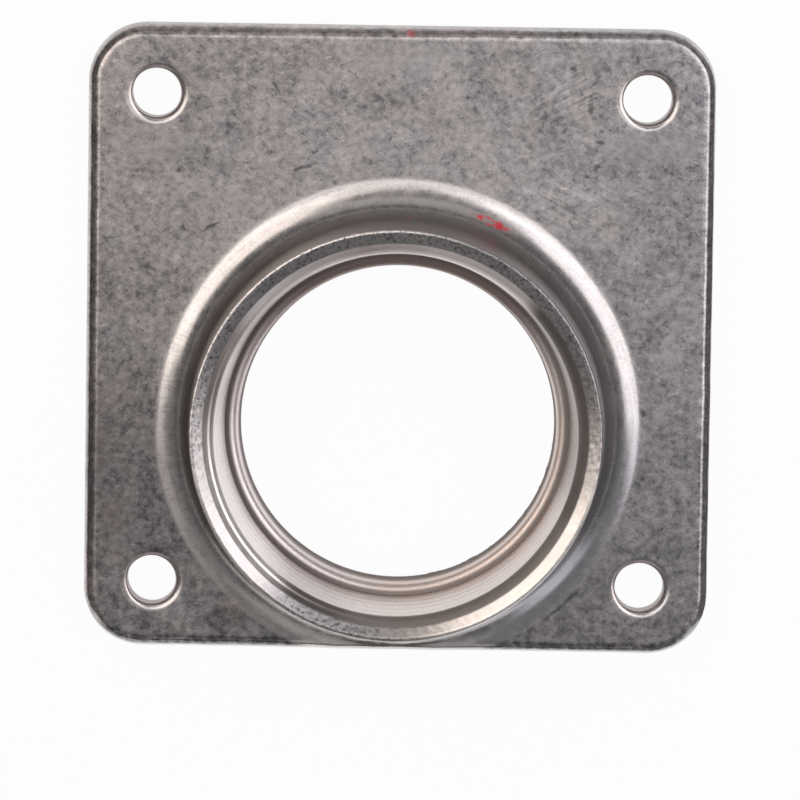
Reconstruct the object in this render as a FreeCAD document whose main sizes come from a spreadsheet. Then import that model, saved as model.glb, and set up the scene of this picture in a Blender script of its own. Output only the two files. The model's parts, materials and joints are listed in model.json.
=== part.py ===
import FreeCAD, Part
import os

import Sketcher
from FreeCAD import Vector

# Conduit hub: one die-cast piece, a square screw-on plate with an off-centre threaded collar.
# The origin is the middle of the plate's flat back. +Z runs out of the collar, towards the
# conduit, and +Y runs from the collar towards the wide end of the plate.
# Lengths are in millimetres and angles in degrees.

NODE = "hub_casting"

# alias: (value, what it sets)
DIMENSIONS = {
    "hole_spacing": (63.5, "screw hole to screw hole, both ways"),
    "hole_diameter": (6.35, "screw holes"),
    "hole_edge_round": (0.9, "round at the front of each screw hole"),
    "hole_to_side": (8.95, "middle of a screw hole to the plate's sides, at the back"),
    "plate_thickness": (4.0, "back of the plate to its front"),
    "corner_radius": (7.7, "corners of the plate"),
    "side_draft": (4.0, "lean of the plate's sides"),
    "edge_round": (1.4, "round along the plate's front edge"),
    "throat_radius": (20.4, "clear way for the wires"),
    "throat_back_round": (0.6, "round of the throat's back edge"),
    "stop_height": (5.3, "back of the plate to the shoulder that stops the conduit"),
    "stop_round": (1.5, "nose of that shoulder, which the wires pass over"),
    "stop_ledge": (0.9, "flat of that shoulder, from its nose to the thread"),
    "lead_in_depth": (1.9, "widening of the bore from the thread to the rim"),
    "lead_in_lean": (45.0, "lean of the lead-in cone from the axis"),
    "rim_width": (1.8, "lead-in to the outside of the collar"),
    "rim_drop": (0.55, "fall of the rim's dished face towards the bore"),
    "rim_land": (0.25, "flat crest of the rim beside its round"),
    "rim_round": (0.25, "round at the rim's outer edge"),
    "hub_height": (19.0, "back of the plate to the collar's rim"),
    "collar_draft": (2.5, "lean of the collar's outside"),
    "collar_to_side": (3.35, "outside of the rim to the plate's near side, at the back"),
    "base_fillet": (4.8, "flare where the collar meets the plate"),
}

# Sizes that follow from the driving dimensions: the plate from its screw holes, the bore and the
# collar from the throat outwards, and the collar's place from the plate's near side.
HALF_PLATE = "(Dims.hole_spacing / 2 + Dims.hole_to_side)"
NOSE_RADIUS = "(Dims.throat_radius + Dims.stop_round)"
THREAD_RADIUS = f"({NOSE_RADIUS} + Dims.stop_ledge)"
LEAD_IN_RADIUS = f"({THREAD_RADIUS} + Dims.lead_in_depth)"
COLLAR_RADIUS = f"({LEAD_IN_RADIUS} + Dims.rim_width)"
RIM_CREST = f"({COLLAR_RADIUS} - Dims.rim_round - Dims.rim_land)"
HUB_OFFSET = f"({HALF_PLATE} - Dims.collar_to_side - {COLLAR_RADIUS})"
LEAD_IN_TOP = "(Dims.hub_height - Dims.rim_drop)"
LEAD_IN_FOOT = f"({LEAD_IN_TOP} - Dims.lead_in_depth / tan(Dims.lead_in_lean * 1deg))"
FILLET_HEIGHT = "(Dims.plate_thickness + Dims.base_fillet)"
FOOT_RADIUS = (f"({COLLAR_RADIUS} + Dims.base_fillet / cos(Dims.collar_draft * 1deg)"
               f" + (Dims.hub_height - {FILLET_HEIGHT}) * tan(Dims.collar_draft * 1deg))")
FAR_RADIUS = f"(2 * {HALF_PLATE} + {HUB_OFFSET})"

# The turned cuts reach this far past the metal's ends.
CUT_REACH = "2"

# Two points this close together are the same point.
SAME_PLACE = 1e-4

doc = FreeCAD.newDocument("ConduitHub")

sheet = doc.addObject("Spreadsheet::Sheet", "Dims")
for row, (alias, (value, meaning)) in enumerate(DIMENSIONS.items(), start=1):
    sheet.set(f"A{row}", meaning)
    sheet.set(f"B{row}", str(value))
    sheet.setAlias(f"B{row}", alias)
doc.recompute()

body = doc.addObject("PartDesign::Body", "HubCasting")
body.Label = NODE


def measure(expression):
    """The present value of an expression on the sheet's dimensions."""
    value = sheet.evalExpression(expression)
    return float(getattr(value, "Value", value))


def new_sketch(name, role, height="0"):
    """A sketch on one of the body's origin planes, moved along that plane's normal."""
    sketch = body.newObject("Sketcher::SketchObject", name)
    plane = next(item for item in body.Origin.OriginFeatures if item.Role == role)
    sketch.AttachmentSupport = [(plane, "")]
    sketch.MapMode = "FlatFace"
    sketch.setExpression(".AttachmentOffset.Base.z", height)
    return sketch


def bind(sketch, constraint, expression):
    """Add a dimension to a sketch and tie it to the sheet."""
    index = sketch.addConstraint(constraint)
    sketch.setExpression(f"Constraints[{index}]", expression)


def pin(sketch, geometry, end, across, up):
    """Hold one end of an edge at two coordinates, each an expression, or 0 for the axis."""
    if across == "0":
        sketch.addConstraint(Sketcher.Constraint("PointOnObject", geometry, end, -2))
    else:
        bind(sketch, Sketcher.Constraint("DistanceX", -1, 1, geometry, end, measure(across)), across)
    if up == "0":
        sketch.addConstraint(Sketcher.Constraint("PointOnObject", geometry, end, -1))
    else:
        bind(sketch, Sketcher.Constraint("DistanceY", -1, 1, geometry, end, measure(up)), up)


def add_arc(sketch, centre, first, last):
    """The short arc between two points, and which of its ends lies at the first."""
    circle = Part.Circle(centre, Vector(0, 0, 1), (first - centre).Length)
    turns_left = (first - centre).cross(last - centre).z > 0
    start, stop = (first, last) if turns_left else (last, first)
    arc = Part.ArcOfCircle(circle, circle.parameter(start), circle.parameter(stop))
    return sketch.addGeometry(arc, False), 1 if turns_left else 2


def draw_profile(sketch, corners, arcs=None):
    """A closed chain of edges through corners that are pairs of expressions.

    arcs gives, by the number of the corner where it starts, an arc's centre and radius.
    """
    arcs = arcs or {}
    points = [Vector(measure(across), measure(up), 0) for across, up in corners]
    edges = []
    for number, first in enumerate(points):
        last = points[(number + 1) % len(points)]
        if number in arcs:
            (across, up), radius = arcs[number]
            centre = Vector(measure(across), measure(up), 0)
            edges.append(add_arc(sketch, centre, first, last))
            bind(sketch, Sketcher.Constraint("Radius", edges[-1][0], measure(radius)), radius)
        else:
            edges.append((sketch.addGeometry(Part.LineSegment(first, last), False), 1))
    for number, (geometry, start) in enumerate(edges):
        before, before_start = edges[number - 1]
        sketch.addConstraint(Sketcher.Constraint("Coincident", before, 3 - before_start, geometry, start))
        pin(sketch, geometry, start, *corners[number])


def feature(kind, name, sketch):
    """A sketched feature of the body."""
    item = body.newObject(f"PartDesign::{kind}", name)
    item.Profile = sketch
    return item


def fillet(name, radius, chosen):
    """Round the last feature's chosen edges or faces."""
    base = body.Tip
    item = body.newObject("PartDesign::Fillet", name)
    item.Base = (base, chosen)
    item.setExpression("Radius", radius)
    doc.recompute()


def edges_where(test):
    """Names of the last feature's edges that pass a test."""
    return [f"Edge{number}" for number, edge in enumerate(body.Tip.Shape.Edges, start=1) if test(edge)]


def is_circle_at(edge, radius, height):
    """Is this edge a whole circle of that radius at that height?"""
    return (isinstance(edge.Curve, Part.Circle) and abs(edge.Curve.Radius - radius) < SAME_PLACE
            and abs(edge.BoundBox.ZMin - height) < SAME_PLACE and edge.BoundBox.ZLength < SAME_PLACE)


# The outline: a square block with leaning sides and round corners, as high as the collar.
outline_sketch = new_sketch("PlateOutline", "XY_Plane")
draw_profile(outline_sketch, [(HALF_PLATE, HALF_PLATE), (f"-{HALF_PLATE}", HALF_PLATE),
                              (f"-{HALF_PLATE}", f"-{HALF_PLATE}"), (HALF_PLATE, f"-{HALF_PLATE}")])
outline = feature("Pad", "OutlineBlock", outline_sketch)
outline.setExpression("Length", "Dims.hub_height")
outline.setExpression("TaperAngle", "-Dims.side_draft * 1deg")
doc.recompute()
fillet("PlateCorners", "Dims.corner_radius", edges_where(lambda edge: edge.BoundBox.ZLength > SAME_PLACE))

# The collar: everything above the plate is turned away round it, down to the flare at its base.
# Where the collar stands close to the plate's side, that side cuts the flare off.
collar_sketch = new_sketch("CollarProfile", "XZ_Plane", HUB_OFFSET)
draw_profile(
    collar_sketch,
    [(FAR_RADIUS, "Dims.plate_thickness"),
     (FOOT_RADIUS, "Dims.plate_thickness"),
     (f"{FOOT_RADIUS} - Dims.base_fillet * cos(Dims.collar_draft * 1deg)",
      f"{FILLET_HEIGHT} - Dims.base_fillet * sin(Dims.collar_draft * 1deg)"),
     (COLLAR_RADIUS, "Dims.hub_height"),
     (COLLAR_RADIUS, f"Dims.hub_height + {CUT_REACH}"),
     (FAR_RADIUS, f"Dims.hub_height + {CUT_REACH}")],
    {1: ((FOOT_RADIUS, FILLET_HEIGHT), "Dims.base_fillet")})
collar = feature("Groove", "Collar", collar_sketch)
collar.ReferenceAxis = (collar_sketch, ["V_Axis"])
collar.Angle = 360
doc.recompute()

# The round front edge runs all the way along the plate's sides, over the cut-off flare too.
thickness = measure("Dims.plate_thickness")
sides = [face for face in body.Tip.Shape.Faces
         if face.BoundBox.ZMin < SAME_PLACE and face.BoundBox.ZLength > thickness / 2]
fillet("PlateFrontEdge", "Dims.edge_round",
       edges_where(lambda edge: edge.BoundBox.ZMin > thickness - SAME_PLACE
                   and any(edge.isSame(other) for side in sides for other in side.Edges)))

# The bore, from the back: throat, shoulder that stops the conduit, thread wall, lead-in, dished rim.
bore_sketch = new_sketch("BoreProfile", "XZ_Plane", HUB_OFFSET)
throat_mouth = "Dims.throat_radius + Dims.throat_back_round"
nose_height = "Dims.stop_height - Dims.stop_round"
draw_profile(
    bore_sketch,
    [("0", f"-{CUT_REACH}"),
     (throat_mouth, f"-{CUT_REACH}"),
     (throat_mouth, "0"),
     ("Dims.throat_radius", "Dims.throat_back_round"),
     ("Dims.throat_radius", nose_height),
     (NOSE_RADIUS, "Dims.stop_height"),
     (THREAD_RADIUS, "Dims.stop_height"),
     (THREAD_RADIUS, LEAD_IN_FOOT),
     (LEAD_IN_RADIUS, LEAD_IN_TOP),
     (RIM_CREST, "Dims.hub_height"),
     (RIM_CREST, f"Dims.hub_height + {CUT_REACH}"),
     ("0", f"Dims.hub_height + {CUT_REACH}")],
    {2: ((throat_mouth, "Dims.throat_back_round"), "Dims.throat_back_round"),
     4: ((NOSE_RADIUS, nose_height), "Dims.stop_round")})
bore = feature("Groove", "Bore", bore_sketch)
bore.ReferenceAxis = (bore_sketch, ["V_Axis"])
bore.Angle = 360
doc.recompute()

# Four plain screw holes on a square, each with a soft front edge.
hole_sketch = new_sketch("ScrewHoles", "XY_Plane")
for across in ("", "-"):
    for up in ("", "-"):
        centre = (f"{across}Dims.hole_spacing / 2", f"{up}Dims.hole_spacing / 2")
        radius = "Dims.hole_diameter / 2"
        place = Vector(measure(centre[0]), measure(centre[1]), 0)
        circle = hole_sketch.addGeometry(Part.Circle(place, Vector(0, 0, 1), measure(radius)), False)
        bind(hole_sketch, Sketcher.Constraint("Radius", circle, measure(radius)), radius)
        pin(hole_sketch, circle, 3, *centre)
holes = feature("Pocket", "ScrewHolesCut", hole_sketch)
holes.Type = "ThroughAll"
holes.Reversed = True
doc.recompute()

hole_radius = measure("Dims.hole_diameter / 2")
fillet("ScrewHoleEdges", "Dims.hole_edge_round",
       edges_where(lambda edge: is_circle_at(edge, hole_radius, thickness)))

rim_radius = measure(COLLAR_RADIUS)
rim_height = measure("Dims.hub_height")
fillet("RimEdge", "Dims.rim_round", edges_where(lambda edge: is_circle_at(edge, rim_radius, rim_height)))

failed = [item.Label for item in doc.Objects if {"Invalid", "Error"} & set(item.State)]
if failed:
    raise RuntimeError("features that failed: " + ", ".join(failed))
if body.Shape.isNull() or not body.Shape.isValid() or len(body.Shape.Solids) != 1:
    raise RuntimeError("the casting isn't one valid solid")

print(f"{NODE}: {body.Shape.Volume:.1f} cubic mm, {len(body.Shape.Faces)} faces")
os.makedirs("parts", exist_ok=True)
body.Shape.exportStep(f"parts/{NODE}.step")
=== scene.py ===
# %% [markdown]
# # A conduit hub, cast in one piece
# The part is a square plate with an off-centre collar, die-cast in one shot of zinc alloy. The packed
# CAD model is the fixed frame: it says where every face lies. This lesson lays a finer skin over it,
# with the worn pipe thread, the rough rim and the mottled metal that a casting has.

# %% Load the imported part
import json
import math

import bmesh
import bpy
import numpy as np
from mathutils import Matrix, Vector, noise
from mathutils.geometry import delaunay_2d_cdt


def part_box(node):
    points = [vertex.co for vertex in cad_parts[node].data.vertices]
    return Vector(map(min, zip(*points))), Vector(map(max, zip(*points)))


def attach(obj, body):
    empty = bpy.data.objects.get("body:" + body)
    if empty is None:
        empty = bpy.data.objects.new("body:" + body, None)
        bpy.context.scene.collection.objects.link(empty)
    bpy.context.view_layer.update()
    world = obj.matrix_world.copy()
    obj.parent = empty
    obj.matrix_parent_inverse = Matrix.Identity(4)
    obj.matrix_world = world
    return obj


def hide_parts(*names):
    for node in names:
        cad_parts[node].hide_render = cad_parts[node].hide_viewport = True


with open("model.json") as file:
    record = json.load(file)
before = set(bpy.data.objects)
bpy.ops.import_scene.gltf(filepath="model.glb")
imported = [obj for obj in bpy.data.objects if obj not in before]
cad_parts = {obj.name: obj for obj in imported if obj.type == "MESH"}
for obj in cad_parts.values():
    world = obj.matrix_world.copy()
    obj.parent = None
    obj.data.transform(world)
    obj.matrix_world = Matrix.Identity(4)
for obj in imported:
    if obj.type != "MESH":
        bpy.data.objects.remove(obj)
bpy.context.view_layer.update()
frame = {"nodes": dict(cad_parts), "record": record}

casting_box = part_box("hub_casting")
mounts = {mount["name"]: mount for mount in frame["record"]["mounts"]}
print("nodes:", sorted(frame["nodes"]), "mounts:", sorted(mounts))

# %% [markdown]
# ## Rays from the collar's axis
# Nearly every face of the casting is turned about the collar's axis, so the mesh is drawn as rings round
# that axis: ray after ray, each ring has one point. A lathe-like grid gives even, smooth shading. A
# remeshed boolean could give the same form, but its edges would wander across the highlights.
# Points are kept in millimetres until the mesh is made. The sizes that other parts must fit come from the
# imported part.

# %% Rays and rings
RAYS = 576
HUB_Y = round(mounts["conduit_thread"]["pos_m"][1] * 1000, 3)

angles = np.arange(RAYS) * 2 * math.pi / RAYS
ray_x, ray_y = np.cos(angles), np.sin(angles)
points, faces = [], []


def add_points(places):
    """Keep points and return their numbers."""
    first = len(points)
    points.extend(tuple(map(float, place)) for place in places)
    return np.arange(first, len(points))


def turned(radius, height):
    """The points of a ring about the collar's axis. Either size may differ from ray to ray."""
    return np.column_stack([ray_x * radius, HUB_Y + ray_y * radius, np.zeros(RAYS) + height])


def bridge(inner, outer):
    """Faces between two rings of point numbers. Where the rings share a point, the face is a triangle."""
    for here, there in zip(range(len(inner)), np.roll(range(len(inner)), -1)):
        corners = [inner[here], inner[there], outer[there], outer[here]]
        corners = list(dict.fromkeys(int(corner) for corner in corners))
        if len(corners) > 2:
            faces.append(corners)


def soft_step(low, high, value):
    """0 below low, 1 above high, and a smooth S between."""
    share = np.clip((value - low) / (high - low), 0, 1)
    return share * share * (3 - 2 * share)


print(RAYS, "rays,", round(360 / RAYS, 3), "degrees apart")

# %% [markdown]
# ## The bore
# From the back, the bore is a ragged edge of casting flash, a drafted throat, a round nose that stops
# the conduit and spares the wires, the thread, a lead-in cone and a dished rim. The profile is a list of
# radii and heights: arcs are short runs of points.

# %% Profile of the bore
THROAT = mounts["wire_throat"]["dims"]["r_mm"]
THROAT_LEAN, BACK_ROUND = 0.33, 0.6
STOP_HEIGHT, STOP_ROUND = 5.3, 1.0
# Lean and height of the rings between the back's round and the nose.
THROAT_RINGS = ((0.1, 1.6), (0.22, 2.9))


def arc(middle, radius, start, stop, steps):
    """Points along an arc of the profile, between two angles in degrees."""
    turns = np.radians(np.linspace(start, stop, steps + 1))
    return [(middle[0] + radius * math.cos(turn), middle[1] + radius * math.sin(turn)) for turn in turns]


nose_middle = (THROAT + THROAT_LEAN + STOP_ROUND, STOP_HEIGHT - STOP_ROUND)
back_edge = arc((THROAT + BACK_ROUND, BACK_ROUND), BACK_ROUND, -90, -180, 6)
throat = [(THROAT + lean, height) for lean, height in THROAT_RINGS]
nose = arc(nose_middle, STOP_ROUND, 180, 90, 12)
print(len(back_edge + throat + nose), "rings up to the shoulder")

# %% [markdown]
# ## The pipe thread
# The real thread is a taper thread with 11.5 turns an inch, shallow and dulled by casting. It could be a
# separate helix cut by a boolean, but a ring's radius can simply swell and shrink: along each ray the
# ridge stands a little higher than on the ray before, one pitch a turn.

# %% Rings of the thread
PITCH = 25.4 / 11.5
THREAD_DEPTH, FOOT_FADE, MOUTH_FADE = 0.03, 1.2, 0.8
FOOT_WALL, MOUTH_WALL, MOUTH_HEIGHT = 22.26, 23.35, 17.1
THREAD_TURNS = (MOUTH_HEIGHT - STOP_HEIGHT) / PITCH
RINGS_A_TURN = 9


def thread_wall(height):
    """Radius of the thread's wall at one height, along every ray."""
    share = (height - STOP_HEIGHT) / (MOUTH_HEIGHT - STOP_HEIGHT)
    crest = FOOT_WALL + share * (MOUTH_WALL - FOOT_WALL)
    ridge = 0.5 + 0.5 * np.cos(2 * math.pi * (height / PITCH) - angles)
    fade = soft_step(STOP_HEIGHT, STOP_HEIGHT + FOOT_FADE, height)
    fade = fade * soft_step(MOUTH_HEIGHT, MOUTH_HEIGHT - MOUTH_FADE, height)
    return crest + THREAD_DEPTH * fade * ridge ** 1.5


thread_heights = np.linspace(STOP_HEIGHT, MOUTH_HEIGHT, int(THREAD_TURNS * RINGS_A_TURN))
thread = [(thread_wall(height), height) for height in thread_heights]
print(len(thread), "rings of thread,", round(THREAD_TURNS, 1), "turns")

# %% [markdown]
# ## Lead-in, rim, collar and flare
# The lead-in is a cone with a small step, which lies lower on one side. The rim's face is dished, and it is
# roughened by noise further on. Outside, the collar leans by its draft angle and runs into the plate with a
# wide concave flare. The flare's foot is a flatter arc that touches both, so its highlight dies away softly.

# %% Profile of the rim and the collar
RIM_HEIGHT = round(casting_box[1][2] * 1000, 3)
COLLAR, RIM_CREST, RIM_ROUND = 26.5, 26.0, 0.25
LEAD_IN, LEAD_IN_HEIGHT = 24.7, 18.45
STEP_FOOT, STEP_EDGE = (23.85, 17.72), 24.16
STEP_HEIGHT, STEP_DROP, STEP_LOW_SIDE = 18.0, 0.18, math.radians(200)
THICKNESS, FLARE = 4.0, 4.8
DRAFT_DEGREES = 2.5
DRAFT = math.radians(DRAFT_DEGREES)
FOOT = COLLAR + FLARE / math.cos(DRAFT) + (RIM_HEIGHT - THICKNESS - FLARE) * math.tan(DRAFT)
FOOT_ARC, BLEND = 6.0, math.radians(20)
LIFT = (FOOT_ARC - FLARE) * (1 - math.cos(BLEND))
SOFT_FOOT = FOOT + (FOOT_ARC - FLARE) * math.sin(BLEND)


def between(first, last, steps):
    """Evenly spaced points after the first, up to the last. A size may differ from ray to ray."""
    shares = np.arange(1, steps + 1) / steps
    return [tuple(start + (stop - start) * share for start, stop in zip(first, last)) for share in shares]


def flare_point(turn):
    """Radius and height of the flare where it leans by an angle from the plate."""
    soft = turn < BLEND
    radius = np.where(soft, SOFT_FOOT - FOOT_ARC * np.sin(turn), FOOT - FLARE * np.sin(turn))
    height = np.where(soft, FOOT_ARC * (1 - np.cos(turn)), FLARE * (1 - np.cos(turn)) + LIFT)
    return radius, THICKNESS + height


def flare_turn(radius):
    """The flare's angle at a radius: 0 where it meets the plate."""
    soft = np.arcsin(np.clip((SOFT_FOOT - radius) / FOOT_ARC, 0, 1))
    return np.where(soft < BLEND, soft, np.arcsin(np.clip((FOOT - radius) / FLARE, 0, 1)))


step_height = STEP_HEIGHT - STEP_DROP * soft_step(0.3, 0.9, np.cos(angles - STEP_LOW_SIDE))
lead_in = between((MOUTH_WALL, MOUTH_HEIGHT), STEP_FOOT, 3)
lead_in += between(lead_in[-1], (STEP_EDGE, step_height), 3)
lead_in += between(lead_in[-1], (LEAD_IN, LEAD_IN_HEIGHT), 3)
dish = between(lead_in[-1], (RIM_CREST, RIM_HEIGHT), 6)
rim_edge = arc((COLLAR - RIM_ROUND, RIM_HEIGHT - RIM_ROUND), RIM_ROUND, 90, DRAFT_DEGREES, 4)
flank = between(rim_edge[-1], np.array(flare_point(math.pi / 2 - DRAFT)), 8)
print("collar foot radius", round(SOFT_FOOT, 2))

# %% [markdown]
# ## The plate's edge
# A plate's edge is found on each ray by halving: a point outside the outline moves the far end in. The
# edge's round is an arc that touches the leaning side and whatever lies on top. Where the collar stands
# close to the side, that is the flare, so the arc's middle is found by a few rounds of correction. Away
# from the collar the arc is stretched downwards, because the real edge turns over quickly at the top.

# %% Outline and edge round
HALF_PLATE = round(casting_box[1][0] * 1000, 3)
CORNER = 7.7
SIDE_DRAFT = math.radians(4)
HALVINGS, CORRECTIONS = 48, 40
EDGE_ROUND, EDGE_CHANGE = 1.42, 0.33
EDGE_STRETCH, STEEP_FLARE = 0.55, 0.4


def outline_gap(x, y, inset):
    """How far a point lies outside the plate's outline, drawn in by an inset."""
    across = np.abs(x) - (HALF_PLATE - CORNER)
    up = np.abs(y) - (HALF_PLATE - CORNER)
    corner = np.hypot(np.maximum(across, 0), np.maximum(up, 0))
    return corner + np.minimum(np.maximum(across, up), 0) - (CORNER - inset)


def reach(inset):
    """Distance along each ray from the collar's axis to the outline, drawn in by an inset."""
    near, far = np.zeros(RAYS), np.full(RAYS, 2 * HALF_PLATE)
    for _ in range(HALVINGS):
        middle = (near + far) / 2
        outside = outline_gap(ray_x * middle, HUB_Y + ray_y * middle, inset) > 0
        near, far = np.where(outside, near, middle), np.where(outside, middle, far)
    return near


edge_round = EDGE_ROUND - EDGE_CHANGE * ray_x * reach(0) / HALF_PLATE
edge_inset = edge_round
for _ in range(CORRECTIONS):
    edge_reach = reach(edge_inset)
    slope = np.arctan(np.tan(flare_turn(edge_reach)) * np.maximum(-ray_y, 0))
    top = flare_point(flare_turn(edge_reach))[1]
    stretch = 1 + EDGE_STRETCH * np.clip(1 - slope / STEEP_FLARE, 0, 1)
    middle_height = top - edge_round * np.cos(slope) * stretch
    middle_inset = edge_round / math.cos(SIDE_DRAFT) + middle_height * math.tan(SIDE_DRAFT)
    edge_inset = middle_inset - edge_round * np.sin(slope)

cut_off = edge_reach < SOFT_FOOT
print("the side cuts the flare off on", int(cut_off.sum()), "of", RAYS, "rays")

# %% [markdown]
# ## Rings of the bore and the collar
# Each point of the profile becomes a ring, and faces join it to the ring before. At the back of the throat
# a little metal leaked between the halves of the die and left a ragged lip, the flash. It could be a thin
# piece of its own, but drawing the first rings in by noise, on one side only, keeps the mesh closed.

# %% Rings from the throat's back edge to the flare's end
FLARE_RINGS = 20
FLASH_FROM, FLASH_TO, FLASH_FADE = math.radians(-92), math.radians(-2), 0.3
FLASH_WAVES, FLASH_SIZE, FLASH_GAP, FLASH_MOST = 13, 0.17, 0.02, 0.2
FLASH_TOP, FLASH_FULL = 2.4, 0.8


def lumps(place, size):
    """Noise about zero, with bumps of a size in the place's own unit."""
    return noise.fractal(Vector(place) / size, 0.7, 2.0, 4)


def flash(radius, height):
    """Draw the throat's back edge in a little, raggedly, where the die leaked."""
    turns = np.angle(np.exp(1j * angles))
    spread = soft_step(FLASH_FROM, FLASH_FROM + FLASH_FADE, turns)
    spread = spread * soft_step(FLASH_TO, FLASH_TO - FLASH_FADE, turns)
    uneven = np.array([lumps((x * FLASH_WAVES, y * FLASH_WAVES, 3), 1) for x, y in zip(ray_x, ray_y)])
    leaked = np.clip(FLASH_SIZE * uneven - FLASH_GAP, 0, FLASH_MOST) * spread
    return radius - leaked * soft_step(FLASH_TOP, FLASH_FULL, height)


rings = []
for radius, height in back_edge + throat:
    rings.append(add_points(turned(flash(radius, height), height)))
for radius, height in nose + thread + lead_in + dish + rim_edge + flank:
    rings.append(add_points(turned(radius, height)))

flare_end = flare_turn(np.minimum(edge_reach, SOFT_FOOT))
for step in range(1, FLARE_RINGS + 1):
    turn = math.pi / 2 - DRAFT + (flare_end - math.pi / 2 + DRAFT) * step / FLARE_RINGS
    rings.append(add_points(turned(*flare_point(turn))))
for inner, outer in zip(rings, rings[1:]):
    bridge(inner, outer)
throat_ring, flare_ring = rings[0], rings[-1]
print(len(rings), "rings,", len(faces), "faces")

# %% [markdown]
# ## Rings of the plate's edge
# The same rays go on down the plate's edge. Where the side cuts the flare off, the edge's first ring shares
# the flare's last points. Elsewhere the flat front lies between the two and is filled later. A modifier can
# bevel an edge too, but its bevel wouldn't run over the flare as the real round does.

# %% Rings of the plate's edge
EDGE_RINGS = 12
SIDE_FOOT, BACK_BEVEL = 1.0, 0.15

for step in range(EDGE_RINGS + 1):
    turn = (math.pi / 2 - slope) + (SIDE_DRAFT - math.pi / 2 + slope) * step / EDGE_RINGS
    inset = middle_inset - edge_round * np.cos(turn)
    numbers = add_points(turned(reach(inset), middle_height + edge_round * np.sin(turn) * stretch))
    if step == 0:
        front_ring = np.where(cut_off, flare_ring, numbers)
        edge_ring = front_ring
    else:
        bridge(edge_ring, numbers)
        edge_ring = numbers
side_rings = ((SIDE_FOOT, SIDE_FOOT * math.tan(SIDE_DRAFT)), (BACK_BEVEL, 0.0), (0.0, BACK_BEVEL))
for height, inset in side_rings:
    numbers = add_points(turned(reach(np.full(RAYS, inset)), height))
    bridge(edge_ring, numbers)
    edge_ring = numbers
back_ring = edge_ring
print(len(points), "points with the plate's edge")

# %% [markdown]
# ## Screw holes
# Each hole has a soft front edge, pressed by the die, and a plain wall. Its rings turn about its own axis.
# The edge is deep and round on one side and shallow on the other, as if the die's pins sat off centre. A
# boolean with a cylinder would leave an even edge.

# %% Rings of the screw holes
hole_sizes = mounts["screw_holes"]["dims"]
HOLE_OFF, HOLE = hole_sizes["spacing_x_mm"] / 2, hole_sizes["hole_r_mm"]
HOLE_STEPS, WALL_RING, BEVEL_RING, HOLE_BEVEL = 72, 1.6, 0.12, 0.1
PRESSED_WIDE, WIDE_CHANGE = 0.84, 0.3
PRESSED_DEEP, DEEP_CHANGE, DEEP_LEAN, LEAST_DEEP = 0.52, 0.42, 0.15, 0.24

hole_turns = np.arange(HOLE_STEPS) * 2 * math.pi / HOLE_STEPS
hole_wide = PRESSED_WIDE + WIDE_CHANGE * np.cos(hole_turns)
hole_deep = PRESSED_DEEP + DEEP_CHANGE * np.cos(hole_turns) - DEEP_LEAN * np.sin(hole_turns)
hole_deep = np.maximum(hole_deep, LEAST_DEEP)
hole_profile = []
for turn in np.radians(np.linspace(0, 90, 10)):
    wide, deep = hole_wide * (1 - math.sin(turn)), hole_deep * (1 - math.cos(turn))
    hole_profile.append((HOLE + wide, THICKNESS - deep))
hole_profile += [(HOLE, WALL_RING), (HOLE, BEVEL_RING), (HOLE + HOLE_BEVEL, 0.0)]
hole_middles = [(x * HOLE_OFF, y * HOLE_OFF) for x in (-1, 1) for y in (-1, 1)]
hole_fronts, hole_backs = [], []

for middle in hole_middles:
    wall = []
    for radius, height in hole_profile:
        x = middle[0] + radius * np.cos(hole_turns)
        y = middle[1] + radius * np.sin(hole_turns)
        wall.append(add_points(np.column_stack([x, y, np.zeros(HOLE_STEPS) + height])))
    for upper, lower in zip(wall, wall[1:]):
        bridge(upper, lower)
    hole_fronts.append(wall[0])
    hole_backs.append(wall[-1])
print(len(hole_middles), "screw holes")

# %% [markdown]
# ## Flat faces
# The front and the back are flat with round openings. A constrained Delaunay triangulation fills such a
# face between its loops. Loose points inside, with a row close along every loop, keep the triangles even,
# so the rounds' shading doesn't bleed into the flat.

# %% Loose points
GRID, MARGIN, CLOSE_ROW = 2.0, 0.9, 0.3


def loose_points(inset, hub_radius, hole_radius):
    """A grid of points, and a row along each opening and the outline, all clear of the loops."""
    grid = np.arange(-HALF_PLATE, HALF_PLATE, GRID)
    places = [(x, y) for x in grid for y in grid]
    for middle in hole_middles:
        radius = hole_radius + CLOSE_ROW
        places += [(middle[0] + radius * math.cos(t), middle[1] + radius * math.sin(t)) for t in hole_turns]
    for row in (reach(inset + CLOSE_ROW), hub_radius + CLOSE_ROW):
        places += list(zip(ray_x * row, HUB_Y + ray_y * row))
    places = np.array(places)
    hub_gap = np.hypot(places[:, 0], places[:, 1] - HUB_Y) - hub_radius
    hole_gaps = [np.hypot(places[:, 0] - x, places[:, 1] - y) - hole_radius for x, y in hole_middles]
    side_gap = -outline_gap(places[:, 0], places[:, 1], float(np.min(inset)))
    clear = np.minimum.reduce([hub_gap, side_gap, *hole_gaps])
    on_row = np.arange(len(places)) >= len(grid) ** 2
    return places[clear > np.where(on_row, CLOSE_ROW * 0.8, MARGIN)]


front_places = loose_points(edge_inset, SOFT_FOOT, HOLE + hole_wide.max())
back_places = loose_points(np.full(RAYS, BACK_BEVEL), THROAT + BACK_ROUND, HOLE + HOLE_BEVEL)
print(len(front_places), "loose points in front,", len(back_places), "at the back")

# %% Fill the front and the back


def inside(loops, places):
    """Which places lie inside an odd number of the closed loops."""
    odd = np.zeros(len(places), bool)
    for loop in loops:
        for (x0, y0), (x1, y1) in zip(loop, np.roll(loop, -1, axis=0)):
            if y0 != y1:
                crosses = (y0 > places[:, 1]) != (y1 > places[:, 1])
                odd ^= crosses & (places[:, 0] < x0 + (places[:, 1] - y0) * (x1 - x0) / (y1 - y0))
    return odd


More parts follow.
